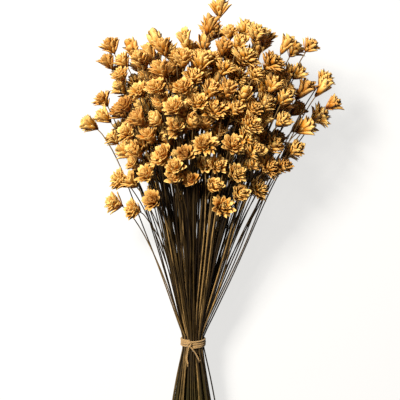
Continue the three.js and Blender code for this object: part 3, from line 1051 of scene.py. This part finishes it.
def line_mesh(name, flowers, rng, settings):
    """The stems' runs as lines, with what the tree needs to know at each point."""
    points, edges = [], []
    values = {key: [] for key in ("girth", "run", "stem_tone", "head_tone", "is_top", "kind", "turn", "size")}
    for flower in flowers:
        run = flower["run"]
        stem_tone = rng.random() ** 1.7
        head_tone = rng.random()
        kind = rng.choices(range(len(KIND_SHARES)), KIND_SHARES)[0]
        kind = STRAY_KINDS.get(name, kind) * TWINS + rng.randrange(TWINS)
        facing = flower["facing"].to_track_quat("Z", "Y").to_euler()
        facing.rotate_axis("Z", rng.uniform(0, math.tau))
        first = len(points)
        lengths = [0.0]
        for before, after in zip(run, run[1:]):
            lengths.append(lengths[-1] + (after - before).length)
        for i, point in enumerate(run):
            share = lengths[i] / lengths[-1]
            points.append(point)
            values["run"].append(share)
            values["girth"].append(mix(settings.foot_radius, settings.neck_radius, share))
            values["stem_tone"].append(stem_tone)
            values["head_tone"].append(head_tone)
            values["is_top"].append(i == len(run) - 2)
            values["kind"].append(kind)
            values["turn"].append(facing)
            values["size"].append(flower["size"])
        edges += [(first + i, first + i + 1) for i in range(len(run) - 1)]
    piece = mesh_piece(name + "_dried", points, edges)
    kinds = {"is_top": "BOOLEAN", "kind": "INT", "turn": "FLOAT_VECTOR"}
    for key, column in values.items():
        store(piece.data, key, column, kinds.get(key, "FLOAT"))
    return piece


def rest_on_floor(mesh):
    """Bracts that would reach into the table bend against it: low points are eased up in their order."""
    soft = SQUASH_HEIGHT - FLOOR_GAP
    for vertex in mesh.vertices:
        if vertex.co.z < SQUASH_HEIGHT:
            vertex.co.z = FLOOR_GAP + soft * math.exp((vertex.co.z - SQUASH_HEIGHT) / soft)


def drop_attributes(mesh, names):
    for name in names:
        found = mesh.attributes.get(name)
        if found:
            mesh.attributes.remove(found)


# ---------------------------------------------------------------------------------------------------
# The tie
# ---------------------------------------------------------------------------------------------------


PLIES = 3
LOBE_DEPTH = 0.14  # how far the plies stand out from the grooves, as a share of the radius
TWINE_STEP = 0.5 * MM
LOOSE_END_SHARE = 0.8  # of the twine's thickness, where its ends have opened and worn thin


def twine_tree(material):
    """Turns a line of points into three-ply twine."""
    tree, given = new_tree("Three-ply twine", [("Radius", "Float"), ("Twist", "Float"), ("Step", "Float")])
    value = given.outputs
    line = node(tree, "GeometryNodeMeshToCurve", {0: value["Geometry"]}).outputs[0]
    rounded = node(tree, "GeometryNodeCurveSplineType", {0: line}, spline_type="CATMULL_ROM").outputs[0]
    even = node(
        tree, "GeometryNodeResampleCurve", {0: rounded, "Length": value["Step"]}, mode="LENGTH"
    ).outputs[0]
    length = node(tree, "GeometryNodeSplineParameter").outputs["Length"]
    turns = node(tree, "ShaderNodeMath", {0: length, 1: value["Twist"]}, operation="DIVIDE").outputs[0]
    tilt = node(tree, "ShaderNodeMath", {0: turns, 1: math.tau}, operation="MULTIPLY").outputs[0]
    twisted = node(tree, "GeometryNodeSetCurveTilt", {0: even, "Tilt": tilt}).outputs[0]

    # The section has three rounded lobes, one for each ply.
    circle = node(tree, "GeometryNodeCurvePrimitiveCircle", {"Resolution": 18, "Radius": 1.0}).outputs[0]
    around = node(tree, "GeometryNodeSplineParameter").outputs["Factor"]
    lobes = node(tree, "ShaderNodeMath", {0: around, 1: PLIES * math.tau}, operation="MULTIPLY").outputs[0]
    wave = node(tree, "ShaderNodeMath", {0: lobes}, operation="COSINE").outputs[0]
    reach = node(
        tree, "ShaderNodeMath", {0: wave, 1: LOBE_DEPTH, 2: 1 - LOBE_DEPTH}, operation="MULTIPLY_ADD"
    ).outputs[0]
    height = node(tree, "ShaderNodeMapRange", {0: wave, 1: -1.0, 2: 1.0, 3: 0.0, 4: 0.55}).outputs[0]
    marked = node(tree, "GeometryNodeStoreNamedAttribute", {0: circle, "Name": "ply_height", "Value": height})
    spot = node(tree, "GeometryNodeInputPosition").outputs[0]
    moved = node(tree, "ShaderNodeVectorMath", {0: spot, "Scale": reach}, operation="SCALE").outputs[0]
    section = node(tree, "GeometryNodeSetPosition", {0: marked.outputs[0], "Position": moved}).outputs[0]

    rope = node(
        tree, "GeometryNodeCurveToMesh", {0: twisted, 1: section, "Scale": value["Radius"], "Fill Caps": True}
    ).outputs[0]
    real = node(tree, "GeometryNodeRealizeInstances", {0: rope}).outputs[0]
    painted = node(tree, "GeometryNodeSetMaterial", {0: real, "Material": material}).outputs[0]
    shaded = node(tree, "GeometryNodeSetShadeSmooth", {0: painted}).outputs[0]
    node(tree, "NodeGroupOutput", {0: shaded})
    return tree


def on_tie(radius, angle, along):
    """A point about the tie's own axis: angle from the top, towards +X."""
    x, up = radius * math.sin(angle), radius * math.cos(angle)
    cosine, sine = math.cos(TIE_TILT), math.sin(TIE_TILT)
    return TIE_AT + Vector((x, along * cosine - up * sine, along * sine + up * cosine))


KNOT_ANGLE = -0.29  # to the left of the top
TURNS_TOP = TURN_RADIUS + TWINE_RADIUS


POINTS_PER_TURN = 40
TURN_PITCH = 0.92  # of the twine's thickness, as the turns press into each other


def turns_points(settings):
    """The turns, side by side, pulled a little out of line by hand."""
    points = []
    for i in range(settings.turns * POINTS_PER_TURN + 1):
        turn = i / POINTS_PER_TURN
        along = (turn - settings.turns / 2) * 2 * settings.twine_radius * TURN_PITCH
        along += 0.35 * MM * math.sin(turn * math.tau * 0.73)
        wobble = 0.12 * MM * math.sin(turn * 17.0)
        points.append(on_tie(TURN_RADIUS + wobble, KNOT_ANGLE + turn * math.tau, along))
    return points


def knot_points():
    """The strand over, under and over itself: a plain knot, pulled tight."""
    spots = []
    last = 33
    for i in range(last + 1):
        t = i / last * math.tau * 2
        along = 2.1 * MM * math.sin(t * 1.5)
        turn = 0.115 * math.cos(t) + 0.03 * math.sin(t * 2.5)
        out = 1.0 * MM + 0.85 * MM * math.cos(t * 2.5 + 0.6)
        spots.append(on_tie(TURNS_TOP + out, KNOT_ANGLE + turn, along))
    return spots


# The twine's two ends, from the knot: how far round in radians, along in millimetres, and out.
TWINE_ENDS = [
    [(0.0, -1, 1.8), (-0.05, -5, 1.9), (-0.12, -10, 1.6), (-0.15, -15, 1.9), (-0.06, -19.5, 2.6)],
    [(0.05, -1, 1.2), (0.24, -4.5, 1.4), (0.47, -9, 0.9), (0.62, -13, 0.8), (0.72, -15.5, 1.0)],
]


def end_points(steps):
    return [on_tie(TURNS_TOP + out * MM, KNOT_ANGLE + turn, along * MM) for turn, along, out in steps]


HAIRS_PER_END = 9
HAIR_RADIUS = 0.12 * MM


def fray_points(end, before, rng, radius):
    """Loose fibres that spread from a cut end of the twine."""
    forward = (end - before).normalized()
    hairs = []
    for _ in range(HAIRS_PER_END):
        side = Vector([rng.uniform(-1, 1) for _ in range(3)])
        side -= forward * side.dot(forward)
        tip = end + forward * rng.uniform(1.5, 3.2) * MM + side * rng.uniform(0.6, 1.4) * MM
        root = end - forward * 0.6 * MM + side * radius * 0.5
        hairs.append([root, root.lerp(tip, 0.5) + side * 0.2 * MM, tip])
    return hairs


def line_piece(name, lines):
    """A mesh of plain lines, for a tree to turn into twine."""
    points, edges = [], []
    for line in lines:
        first = len(points)
        points += line
        edges += [(first + i, first + i + 1) for i in range(len(line) - 1)]
    return mesh_piece(name, points, edges)


# ---------------------------------------------------------------------------------------------------
# Operators
# ---------------------------------------------------------------------------------------------------


class BUNCH_OT_heads(Operator):
    """Make the kinds of flower head that the bunch repeats"""

    bl_idname = "bunch.make_heads"
    bl_label = "Make heads"

    def execute(self, context):
        settings = context.scene.bunch.heads
        material = papery_bract_material(settings)
        bracts = make_bract_templates(settings.bract_thickness)
        tree = bract_spiral_tree(material)
        heads = bpy.data.collections.new("heads")
        workshop().children.link(heads)
        seed = SEED
        for kind, rows in HEAD_KINDS.items():
            for twin in range(TWINS):
                seed += 1
                name = f"head_{kind}_{twin}"
                piece = make_head(name, rows, tree, bracts, settings.unevenness, material, seed)
                workshop().objects.unlink(piece)
                heads.objects.link(piece)
        return {"FINISHED"}


class BUNCH_OT_flowers(Operator):
    """Put a head on every stem and lead the stems through the tie"""

    bl_idname = "bunch.make_flowers"
    bl_label = "Make flowers"

    def execute(self, context):
        settings = context.scene.bunch
        rng = random.Random(SEED)
        stem_material = wiry_stem_material(settings.stems)
        tree = flower_tree(bpy.data.materials["dried_papery_bract"], stem_material)
        nodes = {name: read_node(name) for name in FLOWER_NODES}
        add_fillers(nodes, rng, settings.fillers)
        for name in FLOWER_NODES:
            flowers = flowers_of(nodes[name], rng, settings)
            piece = line_mesh(name, flowers, rng, settings.stems)
            run_tree(piece, tree, Heads=bpy.data.collections["heads"], Sides=settings.stems.sides)
            freeze(piece)
            drop_attributes(piece.data, ("girth", "is_top", "kind", "turn", "size"))
            rest_on_floor(piece.data)
            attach(piece, "root")
            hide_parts(name)
        return {"FINISHED"}


class BUNCH_OT_tie(Operator):
    """Wind the twine round the stems and knot it"""

    bl_idname = "bunch.make_tie"
    bl_label = "Make tie"

    def execute(self, context):
        settings = context.scene.bunch.tie
        tree = twine_tree(twine_material(settings))
        rng = random.Random(SEED)
        ends = [end_points(steps) for steps in TWINE_ENDS]
        frays = [hair for end in ends for hair in fray_points(end[-1], end[-2], rng, settings.twine_radius)]
        pieces = {
            "twine_turns": ([turns_points(settings)], settings.twine_radius),
            "twine_knot": ([knot_points()], settings.twine_radius),
            "twine_ends": (ends, settings.twine_radius * LOOSE_END_SHARE),
            "twine_frays": (frays, HAIR_RADIUS),
        }
        for name, (lines, radius) in pieces.items():
            piece = line_piece(name, lines)
            run_tree(piece, tree, Radius=radius, Twist=settings.twist, Step=TWINE_STEP)
            freeze(piece)
            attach(piece, "root")
            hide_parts("tie")
        return {"FINISHED"}


FLOOR_REACH = 30.0  # metres each way, so that its edge stays out of low views
ROOM_COLOUR = (1.0, 0.9, 0.76)
ROOM_STRENGTH = 0.11
KEY_COLOUR = (1.0, 0.97, 0.92)
KEY_FROM = Vector((-0.7, 0.6, 1.3))  # metres from the middle of the view
KEY_SIZE = 0.45
VIEW_MIDDLE = TIE_AT + Vector((7 * MM, 145 * MM, 0))
VIEW_WIDTH = 0.4  # metres across the view, at the height of the flower heads
HEADS_HEIGHT = 75 * MM
SENSOR_WIDTH = 36.0


class BUNCH_OT_stage(Operator):
    """Lay a plain pale floor under the bunch, light it softly and look straight down on it"""

    bl_idname = "bunch.make_stage"
    bl_label = "Make stage"

    def execute(self, context):
        settings = context.scene.bunch.stage
        scene = context.scene
        scene.view_settings.view_transform = "Standard"

        corners = [(x * FLOOR_REACH, y * FLOOR_REACH, 0) for x, y in ((-1, -1), (1, -1), (1, 1), (-1, 1))]
        floor = mesh_piece("floor", corners, faces=[(0, 1, 2, 3)])
        floor.data.materials.append(diffuser_floor_material(settings))
        # Its glow would whiten the undersides of the stems.
        floor.visible_diffuse = False

        world = bpy.data.worlds.new("soft_room")
        scene.world = world
        world.use_nodes = True
        background = world.node_tree.nodes["Background"]
        background.inputs["Color"].default_value = (*ROOM_COLOUR, 1)
        background.inputs["Strength"].default_value = ROOM_STRENGTH

        add_area_light("key", VIEW_MIDDLE + KEY_FROM, VIEW_MIDDLE, settings.key_power, KEY_SIZE, KEY_COLOUR)

        camera = bpy.data.objects.new("camera", bpy.data.cameras.new("camera"))
        scene.collection.objects.link(camera)
        scene.camera = camera
        camera.location = (VIEW_MIDDLE.x, VIEW_MIDDLE.y, settings.camera_height)
        camera.data.sensor_width = SENSOR_WIDTH
        camera.data.lens = SENSOR_WIDTH * (settings.camera_height - HEADS_HEIGHT) / VIEW_WIDTH
        return {"FINISHED"}


def add_area_light(name, place, target, power, size, colour):
    """A square soft light at a place, turned to its target."""
    light = bpy.data.lights.new(name, "AREA")
    light.energy = power
    light.size = size
    light.color = colour
    lamp = bpy.data.objects.new(name, light)
    bpy.context.scene.collection.objects.link(lamp)
    lamp.location = place
    lamp.rotation_euler = (target - place).to_track_quat("-Z", "Y").to_euler()
    return lamp


class BUNCH_PT_panel(Panel):
    """Steps and settings of the dried flower bunch"""

    bl_idname = "BUNCH_PT_panel"
    bl_label = "Dried flower bunch"
    bl_space_type = "VIEW_3D"
    bl_region_type = "UI"
    bl_category = "Dried flowers"

    def draw(self, context):
        layout = self.layout
        for step in STEPS:
            layout.operator(step.bl_idname)
        settings = context.scene.bunch
        for group in (settings.heads, settings.stems, settings.fillers, settings.tie, settings.stage):
            box = layout.box()
            for name in group.__annotations__:
                box.prop(group, name)


STEPS = (BUNCH_OT_heads, BUNCH_OT_flowers, BUNCH_OT_tie, BUNCH_OT_stage)
GROUPS = (HeadSettings, StemSettings, FillerSettings, TieSettings, StageSettings, BunchSettings)
CLASSES = (*GROUPS, *STEPS, BUNCH_PT_panel)


def register():
    for cls in CLASSES:
        bpy.utils.register_class(cls)
    bpy.types.Scene.bunch = PointerProperty(type=BunchSettings)


def unregister():
    del bpy.types.Scene.bunch
    for cls in reversed(CLASSES):
        bpy.utils.unregister_class(cls)


def clear_workshop():
    """Removes the templates."""
    for collection in [*workshop().children, workshop()]:
        for piece in list(collection.objects):
            bpy.data.objects.remove(piece)
        bpy.data.collections.remove(collection)


def main():
    register()
    bpy.ops.bunch.make_heads()
    bpy.ops.bunch.make_flowers()
    bpy.ops.bunch.make_tie()
    bpy.ops.bunch.make_stage()
    clear_workshop()


if __name__ == "__main__":
    main()
